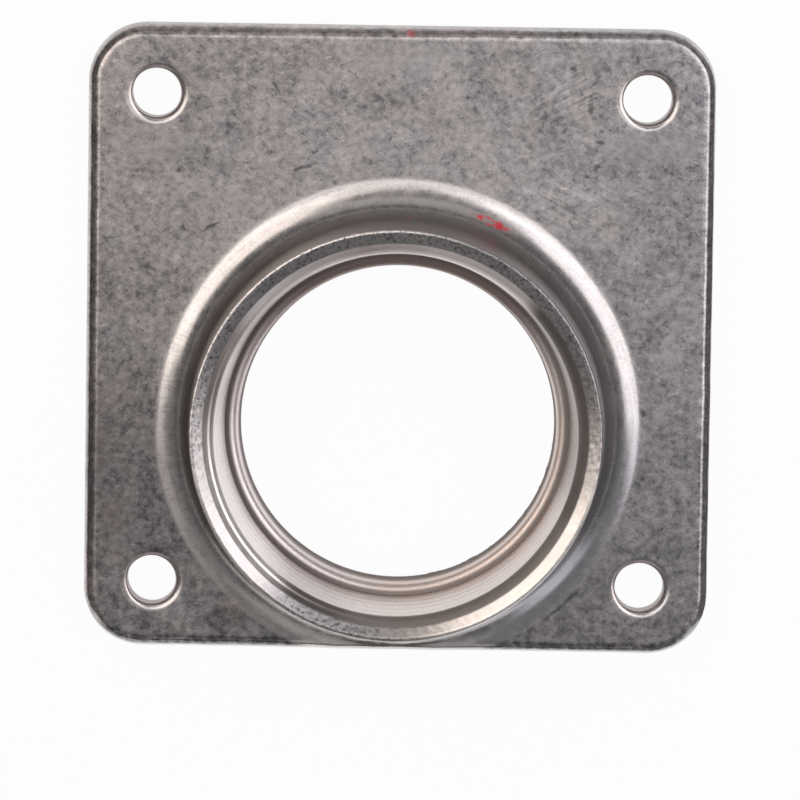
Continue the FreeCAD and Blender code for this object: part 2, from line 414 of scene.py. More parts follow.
def fill(loops, places, height):
    """Triangles between closed loops of point numbers, through loose points at one height."""
    numbers = np.concatenate([*loops, add_points([(x, y, height) for x, y in places])])
    flat = np.array([points[number][:2] for number in numbers], np.float32).astype(float)
    edges, outlines, start = [], [], 0
    for loop in loops:
        edges += [(start + step, start + (step + 1) % len(loop)) for step in range(len(loop))]
        outlines.append(flat[start:start + len(loop)])
        start += len(loop)
    made = delaunay_2d_cdt([Vector(place) for place in flat], edges, [], 0, 1e-6)
    corners = np.array([[made[3][corner][0] for corner in face] for face in made[2]])
    kept = corners[inside(outlines, flat[corners].mean(axis=1))]
    faces.extend(numbers[kept].tolist())
    return len(kept)


clear_rays = np.roll(np.arange(RAYS), -int(np.argmax(cut_off & ~np.roll(cut_off, -1))))
clear_rays = [clear_rays[0], *[ray for ray in clear_rays[1:] if not cut_off[ray]]]
clear_rays.append((clear_rays[-1] + 1) % RAYS)
front_loop = np.concatenate([front_ring[clear_rays], flare_ring[clear_rays[-2:0:-1]]])
front_count = fill([front_loop, *hole_fronts], front_places, THICKNESS)
back_count = fill([back_ring, throat_ring, *hole_backs], back_places, 0.0)
print(front_count, "triangles in front,", back_count, "at the back")

# %% [markdown]
# ## Rough spots
# A few hundredths of a millimetre of noise make the rim ragged and the plate's edge a little uneven. The
# rim is ragged only in stretches, and nearly smooth between them. The rest of the grain is far too fine
# for a mesh and belongs in the metal's finish.

# %% Roughen the rim and the plate's edge
RIM_ROUGH, EDGE_ROUGH = 0.06, 0.05
RIM_LUMP, WORN_LUMP, EDGE_LUMP = 0.45, 0.9, 5.0
# Middle and half width of each stretch, in degrees.
RAGGED_STRETCHES = ((168, 24), (-103, 18), (-4, 12), (95, 45))


def ragged(x, y):
    """How ragged the rim is in a direction from the collar's axis, from 0.2 to 1."""
    turn = math.degrees(math.atan2(y - HUB_Y, x))
    offs = [((turn - middle + 180) % 360 - 180) / half for middle, half in RAGGED_STRETCHES]
    return 0.2 + 0.8 * max(math.exp(-off * off) for off in offs)


moved = 0
for number, (x, y, z) in enumerate(points):
    radius = math.hypot(x, y - HUB_Y)
    if radius < COLLAR + 0.3 and z > LEAD_IN_HEIGHT - 0.2:
        depth = RIM_ROUGH * soft_step(LEAD_IN - 0.4, LEAD_IN + 0.2, radius) * ragged(x, y)
        height = min(z + depth * (lumps((x, y, z), RIM_LUMP) - 0.5), RIM_HEIGHT)
        outer = soft_step(RIM_CREST - 0.2, RIM_CREST + 0.2, radius)
        worn = 1 + depth * outer * (lumps((y, x, z), WORN_LUMP) - 0.7) / COLLAR
        points[number] = (x * worn, HUB_Y + (y - HUB_Y) * worn, height)
        moved += 1
    elif z > 0.2 and radius > COLLAR + 2 and outline_gap(x, y, 2.0) > 0:
        shift = 1 + EDGE_ROUGH * lumps((x, y, z * 0.3), EDGE_LUMP) / HALF_PLATE
        points[number] = (x * shift, y * shift, z)
        moved += 1
print(moved, "of", len(points), "points roughened")

# %% Make the mesh
SHARP_FROM = math.radians(38)

mesh = bpy.data.meshes.new("cast_hub")
mesh.from_pydata([(x / 1000, y / 1000, z / 1000) for x, y, z in points], [], faces)
shape = bmesh.new()
shape.from_mesh(mesh)
bmesh.ops.delete(shape, geom=[vertex for vertex in shape.verts if not vertex.link_faces], context="VERTS")
bmesh.ops.recalc_face_normals(shape, faces=shape.faces)
open_edges = sum(not edge.is_manifold for edge in shape.edges)
shape.to_mesh(mesh)
shape.free()
mesh.shade_smooth()
mesh.set_sharp_from_angle(angle=SHARP_FROM)
cast_hub = bpy.data.objects.new("cast_hub", mesh)
bpy.context.scene.collection.objects.link(cast_hub)
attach(cast_hub, "root")
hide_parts("hub_casting")
print(len(mesh.polygons), "faces,", open_edges, "open edges")

# %% [markdown]
# ## Shader sums as Python
# A finish is a net of small nodes. Wrapping a socket in a class with Python's operators lets the net be
# written as a formula: each plus or times adds one Math node. Every other kind of node comes from one
# method, which takes the node's type, its settings and what goes into its sockets.

# %% Wires
class Wire:
    """One output socket that Python can calculate with."""

    def __init__(self, socket):
        self.socket = socket

    def maths(self, operation, first, second=0.0):
        node = self.socket.id_data.nodes.new("ShaderNodeMath")
        node.operation = operation
        join(first, node.inputs[0])
        join(second, node.inputs[1])
        return Wire(node.outputs[0])

    def __add__(self, other):
        return self.maths("ADD", self, other)

    def __sub__(self, other):
        return self.maths("SUBTRACT", self, other)

    def __rsub__(self, other):
        return self.maths("SUBTRACT", other, self)

    def __mul__(self, other):
        return self.maths("MULTIPLY", self, other)

    def __truediv__(self, other):
        return self.maths("DIVIDE", self, other)

    def __pow__(self, other):
        return self.maths("POWER", self, other)

    def __abs__(self):
        return self.maths("ABSOLUTE", self)

    def no_less(self, least):
        return self.maths("MAXIMUM", self, least)

    __radd__ = __add__
    __rmul__ = __mul__


def join(value, socket):
    """Link a wire to an input, or set the input to a plain value."""
    if isinstance(value, Wire):
        socket.id_data.links.new(value.socket, socket)
    else:
        socket.default_value = value


print("wires ready")

# %% Finishes
class Finish:
    """The node tree of a material or a world, with one method that adds a node."""

    def __init__(self, owner):
        owner.use_nodes = True
        self.tree = owner.node_tree
        self.tree.nodes.clear()

    def add(self, kind, settings, sockets, take=0):
        """Add a node. What comes back is the output that is named, or a list of them."""
        node = self.tree.nodes.new(kind)
        for name, value in settings.items():
            if name == "stops":
                self.set_stops(node.color_ramp.elements, value)
            else:
                setattr(node, name, value)
        for name, value in sockets.items():
            join(value, node.inputs[name])
        if isinstance(take, list):
            return [Wire(node.outputs[name]) for name in take]
        return Wire(node.outputs[take]) if len(node.outputs) else node

    def set_stops(self, elements, stops):
        """Place the colours of a ramp, from the first stop to the last."""
        while len(elements) < len(stops):
            elements.new(1.0)
        for element, (position, colour) in zip(elements, stops):
            element.position = position
            element.color = (*colour, 1)

    def noise(self, place, size, detail, rough=0.55):
        """Noise from 0 to 1, with bumps of about a size in millimetres."""
        sockets = {"Vector": place, "Scale": 1000 / size, "Detail": detail, "Roughness": rough}
        return self.add("ShaderNodeTexNoise", {"normalize": True}, sockets)

    def rise(self, value, low, high):
        """0 at low and 1 at high, with a smooth S between."""
        settings = {"interpolation_type": "SMOOTHSTEP"}
        return self.add("ShaderNodeMapRange", settings, {"Value": value, "From Min": low, "From Max": high})

    def mix(self, share, first, second, blend="MIX"):
        """A colour between two colours."""
        settings = {"data_type": "RGBA", "blend_type": blend, "clamp_factor": True}
        return self.add("ShaderNodeMix", settings, {0: share, 6: first, 7: second}, 2)

    def vector(self, operation, first, second, third=(0, 0, 0)):
        """A sum on vectors."""
        return self.add("ShaderNodeVectorMath", {"operation": operation}, {0: first, 1: second, 2: third})


print("finishes ready")

# %% [markdown]
# ## Where a spot lies
# The finish changes from the plate to the collar to the bore. On the real casting that comes from how the
# die was polished and where the part was rubbed. The object's own coordinates tell the places apart: a
# spot's distance from the collar's axis and its height are enough. Painted masks would need an unwrapped
# mesh, and these don't. A mask is 1 in its place and 0 elsewhere, and lengths are in millimetres again.

# %% Coordinates
MM = 0.001

metal = bpy.data.materials.new("cast_metal")
fin = Finish(metal)
place = fin.add("ShaderNodeTexCoord", {}, {}, "Object")
east, north, up = [way / MM for way in fin.add("ShaderNodeSeparateXYZ", {}, {0: place}, ["X", "Y", "Z"])]
hub_north = north - HUB_Y
radius = (east * east + hub_north * hub_north) ** 0.5
way_east, way_north = east / radius, hub_north / radius


def facing(middle, whole, none):
    """1 near a direction from the collar's axis and 0 far from it, all in degrees."""
    middle, whole, none = math.radians(middle), math.radians(whole), math.radians(none)
    along = way_east * math.cos(middle) + way_north * math.sin(middle)
    return fin.rise(along, math.cos(none), math.cos(whole))


print("a spot's place, radius and direction")

# %% Masks of the collar, the rim and the bore
outside = fin.rise(radius, COLLAR - 0.2, COLLAR - 0.05)
steep = outside * fin.rise(up, THICKNESS + 1.2, THICKNESS + 3.0)
rim = fin.rise(up, LEAD_IN_HEIGHT - 0.07, LEAD_IN_HEIGHT + 0.07) * (1 - outside)
rim_top = fin.rise(up, RIM_HEIGHT - 0.4, RIM_HEIGHT - 0.25)
rim_line = rim_top * fin.rise(radius, COLLAR - RIM_ROUND - 0.13, COLLAR - RIM_ROUND)
crest = rim_top * fin.rise(radius, RIM_CREST - 0.15, RIM_CREST)
bore = fin.rise(radius, LEAD_IN + 0.05, LEAD_IN - 0.1)
lead = fin.rise(up, MOUTH_HEIGHT - 0.1, MOUTH_HEIGHT + 0.2)
on_wall = fin.rise(up, STOP_HEIGHT + 0.3, STOP_HEIGHT + 1.3)
on_nose = fin.rise(up, STOP_HEIGHT + 1.0, STOP_HEIGHT)
in_throat = fin.rise(radius, THROAT + 0.45, THROAT + 0.1) * fin.rise(up, STOP_HEIGHT - 0.7, STOP_HEIGHT - 2.4)
print("masks for the collar, the rim and the bore")

# %% Masks of the plate's edge and the screw holes
past_east, past_north = [(abs(way) - (HALF_PLATE - CORNER)).no_less(0) for way in (east, north)]
from_edge = CORNER - (past_east * past_east + past_north * past_north) ** 0.5
edge = fin.rise(from_edge, 1.85, 1.4)
wide_end = fin.rise(north, HALF_PLATE - 2.7, HALF_PLATE - 1.2)
low_end = fin.rise(north, 4.2 - HALF_PLATE, 1.7 - HALF_PLATE)
# A pale line along the plate's edge at the collar's end: a painted reflection.
painted_lip_reflection = low_end * fin.rise(from_edge, 0.65, 0.4)


def hole_distance(spot_east, spot_north):
    """Distance from the axis of the nearest screw hole."""
    off_east, off_north = abs(spot_east) - HOLE_OFF, abs(spot_north) - HOLE_OFF
    return (off_east * off_east + off_north * off_north) ** 0.5


from_hole = hole_distance(east, north)
hole_edge = fin.rise(from_hole, HOLE + 1.025, HOLE + 0.725)
hole_ring = fin.rise(from_hole, HOLE + 0.575, HOLE + 0.325)
hole_wall = fin.rise(from_hole, HOLE + 0.175, HOLE + 0.025)
hole_middle_north = (fin.rise(north, -1, 1) * 2 - 1) * HOLE_OFF
low_side = fin.rise(north - hole_middle_north, 0.5, -1.5)
hole_crest = hole_edge * fin.rise(from_hole, HOLE + 0.225, HOLE + 0.375) * low_side
print("masks for the plate's edge and the screw holes")

# %% [markdown]
# ## Noise of many sizes
# Cast metal that isn't polished is cloudy. Clouds two fingers wide, stains of a few millimetres, spots, and
# grain as fine as sand lie over each other. Each gets a noise of its own size, so the formulas below can
# weigh them. Noise read from a shifted place gives spots that don't fall on the same spots.

# %% Noises
HUE_SHIFT, PIT_SHIFT, FLECK_SHIFT = (0.31, 0.17, 0.05), (0.12, 0.44, 0.3), (0.5, 0.23, 0.1)

cloud = fin.noise(place, 24, 2)
stain = fin.noise(place, 4.2, 6, 0.66)
fine = fin.noise(place, 0.95, 4, 0.62)
grain = fin.noise(place, 0.28, 2, 0.5)
speckle = fin.noise(place, 0.42, 3, 0.7)
hue = fin.noise(fin.vector("ADD", place, HUE_SHIFT), 6.5, 4, 0.6)
pits = fin.rise(fin.noise(fin.vector("ADD", place, PIT_SHIFT), 0.75, 2, 0.6), 0.57, 0.72)
flecks = fin.rise(fin.noise(fin.vector("ADD", place, FLECK_SHIFT), 0.5, 1), 0.66, 0.76)


def sway(pattern, amount):
    """A noise drawn about zero, times an amount."""
    return (pattern - 0.5) * amount


foot_drift = sway(fine, 0.5) + (facing(158, 14, 34) - facing(82, 15, 45)) * 0.4
collar = outside * fin.rise(radius + foot_drift, FOOT + 0.2, FOOT - 0.45)
print("noises from 24 mm down to 0.28 mm, and the collar's uneven foot")

# %% [markdown]
# ## Scars
# The casting has knocked about in a bin: gouges, dents with a dark bottom, and rubbed light spots. Each
# scar is an oval. A Mapping node moves it to the middle, turns it and stretches it to a unit circle, so
# its distance from the middle is all that is needed. Reading a wobbly place makes the ovals ragged. Image
# masks could hold the same scars, but ovals can be listed and moved one by one.

# %% Ovals
WOBBLE, WOBBLE_SCALE = 0.7, 1100.0

wobble = fin.add("ShaderNodeTexNoise", {}, {"Vector": place, "Scale": WOBBLE_SCALE, "Detail": 1.0}, "Color")
wobble = fin.vector("SUBTRACT", wobble, (0.5, 0.5, 0.5))
wobbly = fin.vector("MULTIPLY_ADD", wobble, (WOBBLE * MM, WOBBLE * MM, 0.0), place)


def oval(middle, size, lean=0, soft=(1.3, 0.5), height=4.5, tall=5.0):
    """1 inside an oval on the front, 0 outside. Middle and size in millimetres, lean in degrees."""
    sockets = {
        "Vector": wobbly,
        "Location": (middle[0] * MM, middle[1] * MM, height * MM),
        "Rotation": (0, 0, math.radians(lean)),
        "Scale": (size[0] / 2 * MM, size[1] / 2 * MM, tall / 2 * MM)}
    unit = fin.add("ShaderNodeMapping", {"vector_type": "TEXTURE"}, sockets)
    return fin.rise(fin.add("ShaderNodeVectorMath", {"operation": "LENGTH"}, {0: unit}, "Value"), *soft)


def all_ovals(scars):
    """The sum of many ovals, each times its strength."""
    total = 0
    for strength, middle, size, lean in scars:
        total = total + oval(middle, size, lean) * strength
    return total


print("ovals ready")

# %% Scars, smooth pads and soot
# Strength, middle, size and lean of each scar.
DARK_SCARS = [
    (0.8, (-32.3, 9.1), (1.5, 0.6), -35), (0.8, (-24.5, 14.5), (2.8, 0.5), 25),
    (0.7, (-37.7, 12.9), (2.3, 0.35), 0), (0.6, (-34.1, 14.0), (1.1, 1.0), 0),
    (0.7, (24.4, 31.0), (0.9, 3.0), 0), (0.9, (22.0, 35.7), (0.9, 0.8), 0),
    (0.9, (25.8, 26.1), (1.1, 0.4), 0), (0.7, (9.7, 25.3), (1.1, 1.0), 0),
    (0.9, (31.7, -8.8), (1.3, 0.8), -30), (0.9, (29.4, -21.0), (3.4, 0.5), 39),
    (0.6, (21.6, -34.4), (8.0, 0.5), 43), (0.6, (-31.3, -29.2), (3.0, 1.2), 0),
    (0.8, (-19.9, 9.3), (2.2, 0.6), 50), (0.8, (-12.5, 22.4), (3.6, 0.5), 15),
    (0.8, (-11.1, 24.3), (1.2, 0.5), 0), (0.7, (-16.4, 32.8), (1.2, 0.5), -55),
    (0.5, (-22.6, 27.5), (2.4, 1.8), 0), (0.8, (-28.8, 21.7), (0.7, 0.7), 0),
    (0.6, (-7.6, 32.0), (1.6, 1.2), 0), (0.6, (-3.2, 31.6), (2.2, 0.9), -30),
    (0.7, (25.4, 22.9), (1.2, 0.7), 10), (0.12, (-32.0, 36.6), (7, 1.8), 10),
    (0.12, (31.5, 36.6), (6, 1.6), 0), (0.3, (31.0, -27.0), (6, 1.6), 0)]
LIGHT_SCARS = [
    (0.9, (-28.7, 10.8), (1.0, 2.0), -20), (0.9, (16.6, 25.0), (0.6, 0.5), 0),
    (0.8, (-13.0, 31.0), (1.8, 0.4), -45), (0.8, (-7.2, 29.5), (0.8, 0.4), -50),
    (0.7, (-30.0, -3.0), (0.8, 1.8), 10), (0.7, (20.5, 20.5), (1.6, 0.4), -30)]
# Middle and size of each pad.
PADS = [((-0.3, 36.4), (15, 4.6)), ((-31.6, 24.9), (12.5, 5.4)), ((32.1, 25.3), (13, 5.0))]

dark_scars, light_scars = all_ovals(DARK_SCARS), all_ovals(LIGHT_SCARS)
pad = sum(oval(middle, size, 0, (1.15, 0.75)) for middle, size in PADS)
soot = oval((-37, -17), (18, 28), 0, (1.2, 0.2)) * fin.rise(stain + cloud, 0.75, 1.1)
print(len(DARK_SCARS) + len(LIGHT_SCARS), "scars and", len(PADS), "smooth pads")

# %% [markdown]
# ## Scratches
# Two patches are full of fine parallel scratches, from being slid over something gritty. Noise whose place
# is turned and stretched along the scratches gives the lines, and an oval keeps them to their patch. The
# same noise, cut off high, leaves short strokes, and those lie all over the plate in three directions.

# %% Scratches in two patches and strokes all over
SCRATCH_LENGTH, SCRATCH_WIDTH, STROKE_WIDTH = 5, 0.4, 0.42
LINE_DEPTH = 10


def lines(lean, length, width, detail):
    """Noise from 0 to 1 that is drawn out along a direction, in degrees and millimetres."""
    stretch_to = (length * MM, width * MM, LINE_DEPTH * MM)
    sockets = {"Vector": place, "Rotation": (0, 0, math.radians(lean)), "Scale": stretch_to}
    along = fin.add("ShaderNodeMapping", {"vector_type": "TEXTURE"}, sockets)
    sockets = {"Vector": along, "Scale": 1.0, "Detail": detail, "Roughness": 0.6}
    return fin.add("ShaderNodeTexNoise", {}, sockets)


def scratches(middle, size, lean):
    """Light and dark lines about zero, in an oval patch."""
    return sway(lines(lean, SCRATCH_LENGTH, SCRATCH_WIDTH, 3.0), oval(middle, size, 0, (1.3, 0.4)))


scratched = scratches((21.5, 32.5), (10, 7), 27) + scratches((22.5, 18), (11, 8), -27)
strokes = fin.rise(lines(20, 1.2, STROKE_WIDTH, 1.0), 0.62, 0.72)
strokes = strokes - fin.rise(lines(-38, 1.1, STROKE_WIDTH, 1.0), 0.62, 0.72)
strokes = strokes - fin.rise(lines(62, 1.0, STROKE_WIDTH, 1.0), 0.64, 0.74)
print("two patches of scratches, strokes in three directions")

# %% [markdown]
# ## The mottled plate
# The noises and the scars are weighed into one number, the tone, and a colour ramp turns the tone into
# metal: its dark end is bluish, its light end rosy. The edges of the plate are lighter and patchy, partly
# rubbed metal and partly a painted highlight, and at the collar's end a painted shade darkens them. Soot
# lies on one side, and a little rust from something else has run in at the collar's end.

# %% Tone of the plate
left_blotches, right_calm = fin.rise(east, -5, -30) * 0.45, fin.rise(east, 5, 30) * 0.4
blotchy = 1 + fin.rise(north, 0, -20) * (left_blotches - right_calm)
near_collar = fin.rise(radius, 42, 36) * fin.rise(north, 5, 20)

tone = 0.42 + (sway(cloud, 0.4) + sway(stain, 0.82)) * blotchy + sway(fine, 1.05) + sway(grain, 0.3)
tone = tone - pits * 0.16 + flecks * 0.22 + scratched * 1.3 + strokes * 0.17
tone = tone * (1 - pad * 0.4) + pad * 0.2
# Painted light and shade: the plate is lighter just above the collar and a little darker over its lower part.
tone = tone + near_collar * 0.09 - fin.rise(north, 25, 5) * 0.03
# The edges: lighter, partly rubbed metal and partly a painted highlight; darker at the collar's end, a
# painted shade. Round the screw holes the metal is lighter, painted light.
tone = tone + edge * (0.26 + sway(fine, 0.9) - low_end * 0.36) + hole_edge * 0.14
tone = tone - dark_scars * 0.42 + light_scars * 0.3
print("tone of the plate from", len(fin.tree.nodes), "nodes so far")

# %% Plate colour
METAL_STOPS = [
    (0.05, (0.138, 0.133, 0.140)),
    (0.34, (0.288, 0.278, 0.280)),
    (0.55, (0.400, 0.378, 0.376)),
    (0.78, (0.500, 0.466, 0.462)),
    (0.98, (0.640, 0.600, 0.590))]
COOL_TINT, WARM_TINT = (0.975, 0.988, 1.03, 1), (1.022, 0.992, 0.974, 1)
SOOT_BLACK, RUST_BROWN = (0.17, 0.15, 0.14), (0.34, 0.25, 0.20)
# Round the holes: a painted highlight on the crest of each hole's low side, painted light on the inner round
# and painted shade on the wall.
HOLE_CREST_HIGHLIGHT, HOLE_RING_LIGHT, HOLE_WALL_SHADE = (0.74, 0.70, 0.68), (0.74, 0.67, 0.65), (0.42, 0.36, 0.35)


def metal_at(tone):
    """The colour of the bare metal at a tone."""
    return fin.add("ShaderNodeValToRGB", {"stops": METAL_STOPS}, {0: tone})


def coats(first, *layers):
    """A colour with others laid over it, each as strongly as its mask says."""
    for mask, colour in layers:
        first = fin.mix(mask, first, (*colour, 1))
    return first


# The hue noise is real mottling. Its drift, warmer to the left and towards the wide end and cooler to the
# right, is a painted tint of the lamps' light.
hue_and_light_tint = fin.mix(fin.rise(hue - east * 0.0045 + north * 0.0025, 0.27, 0.73), COOL_TINT, WARM_TINT)
rust = oval((-11, -38.6), (9, 2.6), 0, (1.3, 0.2)) + oval((-21, -36), (9, 5), 20, (1.3, 0.2)) * 0.6
plate_colour = coats(
    fin.mix(1.0, metal_at(tone), hue_and_light_tint, "MULTIPLY"),
    (soot * 0.95, SOOT_BLACK),
    # Painted highlight, painted light and painted shade round the holes.
    (hole_crest * 0.6, HOLE_CREST_HIGHLIGHT),
    (hole_ring * 0.7, HOLE_RING_LIGHT),
    (hole_wall * 0.8, HOLE_WALL_SHADE),
    (rust * fin.rise(fine, 0.3, 0.65) * 0.4, RUST_BROWN))
print("plate colour with soot, rust and the holes' edges")

# %% [markdown]
# ## Streaks round the collar
# The die for the collar was turned and polished, so the flare is smooth and its marks run round the axis.
# Noise that is fed the direction from the axis, and a much enlarged radius and height, stretches into such
# streaks. Fed the direction alone, or nearly so, it gives fine ribs across the flare, which show most on one
# side. A smear and two dots of red paint have rubbed off on the collar and the plate's edge.

# %% Collar colour
STREAKS_ROUND, STREAKS_A_MM = 7, 2.6
RIB_SCALE, RIB_DRIFT = 80.0, 0.004
# The two steep colours are painted shade on the collar's flank; the bluish one is a painted reflection.
STEEP_SHADE_GREY, STEEP_SHADE_BROWN, BLUISH_REFLECTION = (0.29, 0.27, 0.26), (0.20, 0.165, 0.15), (0.47, 0.475, 0.51)

round_place = fin.add("ShaderNodeCombineXYZ", {}, {
    "X": way_east * STREAKS_ROUND, "Y": way_north * STREAKS_ROUND, "Z": (radius + up) * STREAKS_A_MM})
streak = fin.add("ShaderNodeTexNoise", {}, {
    "Vector": round_place, "Scale": 1.0, "Detail": 4.0, "Roughness": 0.6})
ways = fin.add("ShaderNodeCombineXYZ", {}, {"X": way_east, "Y": way_north, "Z": radius * RIB_DRIFT})
ribs = fin.add("ShaderNodeTexNoise", {}, {"Vector": ways, "Scale": RIB_SCALE, "Detail": 2.0})

collar_tone = 0.92 + sway(streak, 0.55) + sway(fine, 0.45) + sway(grain, 0.35) - dark_scars * 0.4
collar_tone = collar_tone + sway(ribs, facing(182, 15, 38) * 0.5 + 0.08)
# Painted shade darkens the steep flank, most on the left, and a painted reflection lays a bluish cast low at
# the right.
collar_colour = coats(
    metal_at(collar_tone),
    (steep * 0.5, STEEP_SHADE_GREY),
    (steep * facing(182, 25, 75) * 0.6, STEEP_SHADE_BROWN),
    (facing(-35, 22, 50) * 0.6, BLUISH_REFLECTION))

paint = oval((12.0, 15.6), (6.0, 1.0), -24, height=5.0, tall=1.8) * fin.rise(fine, 0.36, 0.55)
paint = paint + oval((1.2, 16.4), (0.9, 0.9), height=7.8, tall=1.6) * 0.35
paint = paint + oval((1.0, 39.9), (1.4, 0.9)) * 0.6
print("collar colour with streaks, ribs and paint")

# %% [markdown]
# ## Bore and rim
# The wall of the bore is the cleanest metal on the part, a pale satin. Painted shade darkens it on some
# sides and in the lead-in, painted highlights lighten it on others, and a warm painted reflection lies on
# the nose. Painted shade also lies on the nose's upper side, in the corner behind the nose and down the
# throat. The rim is the roughest: it was broken off and rubbed, so light and dark grains sit side by side on
# it. Painted shade darkens its top and bottom, a painted reflection warms its lower right, and painted
# highlights run along its outer line and crest.

# %% Bore colour
SATIN_DARK, SATIN_PALE = (0.60, 0.53, 0.515, 1), (0.85, 0.765, 0.745, 1)
# Painted light and shade in the bore: a shade grey, a highlight, a warm reflection on the nose, and shade on
# the nose's upper side, in the corner and down the throat.
BORE_SHADE_GREY, BORE_HIGHLIGHT_PALE, WARM_NOSE_REFLECTION = (0.24, 0.215, 0.205), (0.98, 0.93, 0.92), (0.68, 0.54, 0.44)
NOSE_SHADE_BROWN, CORNER_SHADE_BLACK, THROAT_SHADE_BLACK = (0.19, 0.13, 0.115), (0.10, 0.085, 0.085), (0.12, 0.095, 0.09)
CORNER_FROM, CORNER_TO = 21.45, 21.95

# The satin's grain and streaks are real; its lighter patch towards one side is a painted highlight.
satin_and_highlight = 0.5 + sway(streak, 0.9) + sway(grain, 1.6) + sway(stain, 0.5) + facing(203, 8, 32) * 0.7
# Painted shade on some sides of the wall and the lead-in, painted highlights on others.
painted_dark_sides = on_wall * (facing(18, 24, 48) * 0.88 + facing(135, 6, 26) * 0.6 + facing(238, 5, 22) * 0.3)
painted_dark_sides = painted_dark_sides + lead * (facing(310, 68, 100) * 0.75 + facing(172, 8, 20) * 0.6)
painted_bright_sides = on_wall * (facing(203, 12, 36) * 0.7 + facing(72, 10, 32) * 0.5)
painted_bright_sides = painted_bright_sides + lead * (facing(214, 8, 24) * 0.8 + facing(62, 8, 22) + facing(125, 10, 26) * 0.6)
# Painted shade on the nose's upper side.
nose_top_shade = on_nose * fin.rise(hub_north, 4, 19)
# Painted shade in the corner behind the nose.
corner = on_nose * fin.rise(radius, CORNER_FROM, CORNER_TO) * (0.65 + facing(185, 40, 85) * 0.25)
bore_colour = coats(
    fin.mix(satin_and_highlight, SATIN_DARK, SATIN_PALE),
    (painted_dark_sides, BORE_SHADE_GREY),
    (painted_bright_sides, BORE_HIGHLIGHT_PALE),
    # A warm painted reflection on the nose, and faintly on the wall, at the lower right.
    ((on_nose * 0.45 + on_wall * 0.1) * facing(315, 35, 75), WARM_NOSE_REFLECTION),
    (nose_top_shade * 0.8, NOSE_SHADE_BROWN),
    (corner, CORNER_SHADE_BLACK),
    # Painted shade down the throat.
    (in_throat * 0.8, THROAT_SHADE_BLACK))
print("bore colour from the throat to the lead-in")

# %% Rim colour, and all colours together
# Painted light on the rim and the plate: a warm reflection, a highlight, and the lip's pale reflection.
WARM_RIM_REFLECTION, RIM_HIGHLIGHT_PALE, PALE_LIP_REFLECTION = (0.70, 0.63, 0.56), (0.95, 0.89, 0.85), (0.80, 0.75, 0.74)
PAINT_RED = (0.72, 0.06, 0.08)

ragged_rim = 0
for middle, half in RAGGED_STRETCHES:
    ragged_rim = ragged_rim + facing(middle, half * 0.5, half * 1.7)
black_grains = ragged_rim * fin.rise(speckle, 0.5, 0.64)
rubbed = facing(211, 16, 32) + facing(315, 25, 45)
# Painted shade: the rim is darker at its top and its bottom.
rim_shade = facing(86, 70, 98) * 0.54 + facing(258, 12, 34) * 0.55
rim_tone = 0.98 - rim_shade + sway(speckle, 1.7 + ragged_rim * 2.0 - rubbed * 1.3)
rim_tone = rim_tone + flecks * (1 - rubbed) * 0.3 + sway(stain, 0.4) - black_grains * 0.55
# The warm cast on the rim's lower right is a painted reflection.
rim_colour = coats(metal_at(rim_tone), (facing(318, 30, 60) * 0.4, WARM_RIM_REFLECTION))
# Painted highlights along the rim's outer line at the upper left and on its crest at the lower right.
rim_highlights = rim_line * facing(140, 45, 75) * fin.rise(speckle, 0.25, 0.55) + crest * facing(318, 22, 40) * 0.85

colour = fin.mix(collar, plate_colour, collar_colour)
colour = fin.mix(bore, colour, bore_colour)
colour = fin.mix(rim, colour, rim_colour)
# Painted highlights on the rim and a painted reflection on the lip go over the colour, then real paint.
colour = coats(colour, (rim_highlights, RIM_HIGHLIGHT_PALE), (painted_lip_reflection * 0.8, PALE_LIP_REFLECTION), (paint, PAINT_RED))
print("rim colour with", len(RAGGED_STRETCHES), "ragged stretches")

# %% [markdown]
# ## Grain in the light
# Colour alone looks printed. A bump from the same noises tilts the surface by a few degrees, so that the
# lamps pick out grains, and roughness from them spreads the highlight unevenly.

# %% Bump, roughness and shader
GRAIN_HEIGHT = 0.05

relief = fine * 0.9 + grain * 0.2 + stain * 0.6
relief = relief * (1 - collar * 0.75) * (1 - bore * 0.4) * (1 - rim * 0.7) + rim * speckle * 0.6
bump = fin.add("ShaderNodeBump", {}, {"Strength": 0.5, "Distance": GRAIN_HEIGHT * MM, "Height": relief})
rough = 0.36 + sway(stain, 0.22) + sway(fine, 0.18) - pad * 0.03
rough = rough - edge * (0.11 - wide_end * 0.1) - hole_edge * 0.1
rough = rough - collar * 0.11 + steep * 0.14 - rim * (0.09 - ragged_rim * 0.1)
rough = rough - bore * (0.05 - (on_nose + lead) * 0.08) + in_throat * 0.4
metallic = 1 - bore * 0.1 - in_throat * 0.5 - paint * 0.8
shader = fin.add("ShaderNodeBsdfPrincipled", {}, {
    "Base Color": colour, "Metallic": metallic, "Roughness": rough, "Normal": bump})
fin.add("ShaderNodeOutputMaterial", {}, {"Surface": shader})
cast_hub.data.materials.append(metal)
print(len(fin.tree.nodes), "nodes in the metal")

# %% [markdown]
# ## Floor
# The casting lies on white paper. Camera, glossy and transmission rays see the paper as white light, with
# a little real shading left so that a shadow stays. Down in the screw holes the paper lies in shade, and the
# holes' walls mirror that, so mirror rays see it there half as white light and half as it is.

# %% White paper
FLOOR_REACH, FLOOR_HEIGHT = 3, -0.0002
PAPER_WHITE, WHITE_IN_HOLES = 0.96, 0.5
FLOOR_CORNERS = ((-1, -1), (1, -1), (1, 1), (-1, 1))

floor_mesh = bpy.data.meshes.new("floor")
floor_points = [(x * FLOOR_REACH, y * FLOOR_REACH, FLOOR_HEIGHT) for x, y in FLOOR_CORNERS]
floor_mesh.from_pydata(floor_points, [], [(0, 1, 2, 3)])
floor = bpy.data.objects.new("floor", floor_mesh)
bpy.context.scene.collection.objects.link(floor)

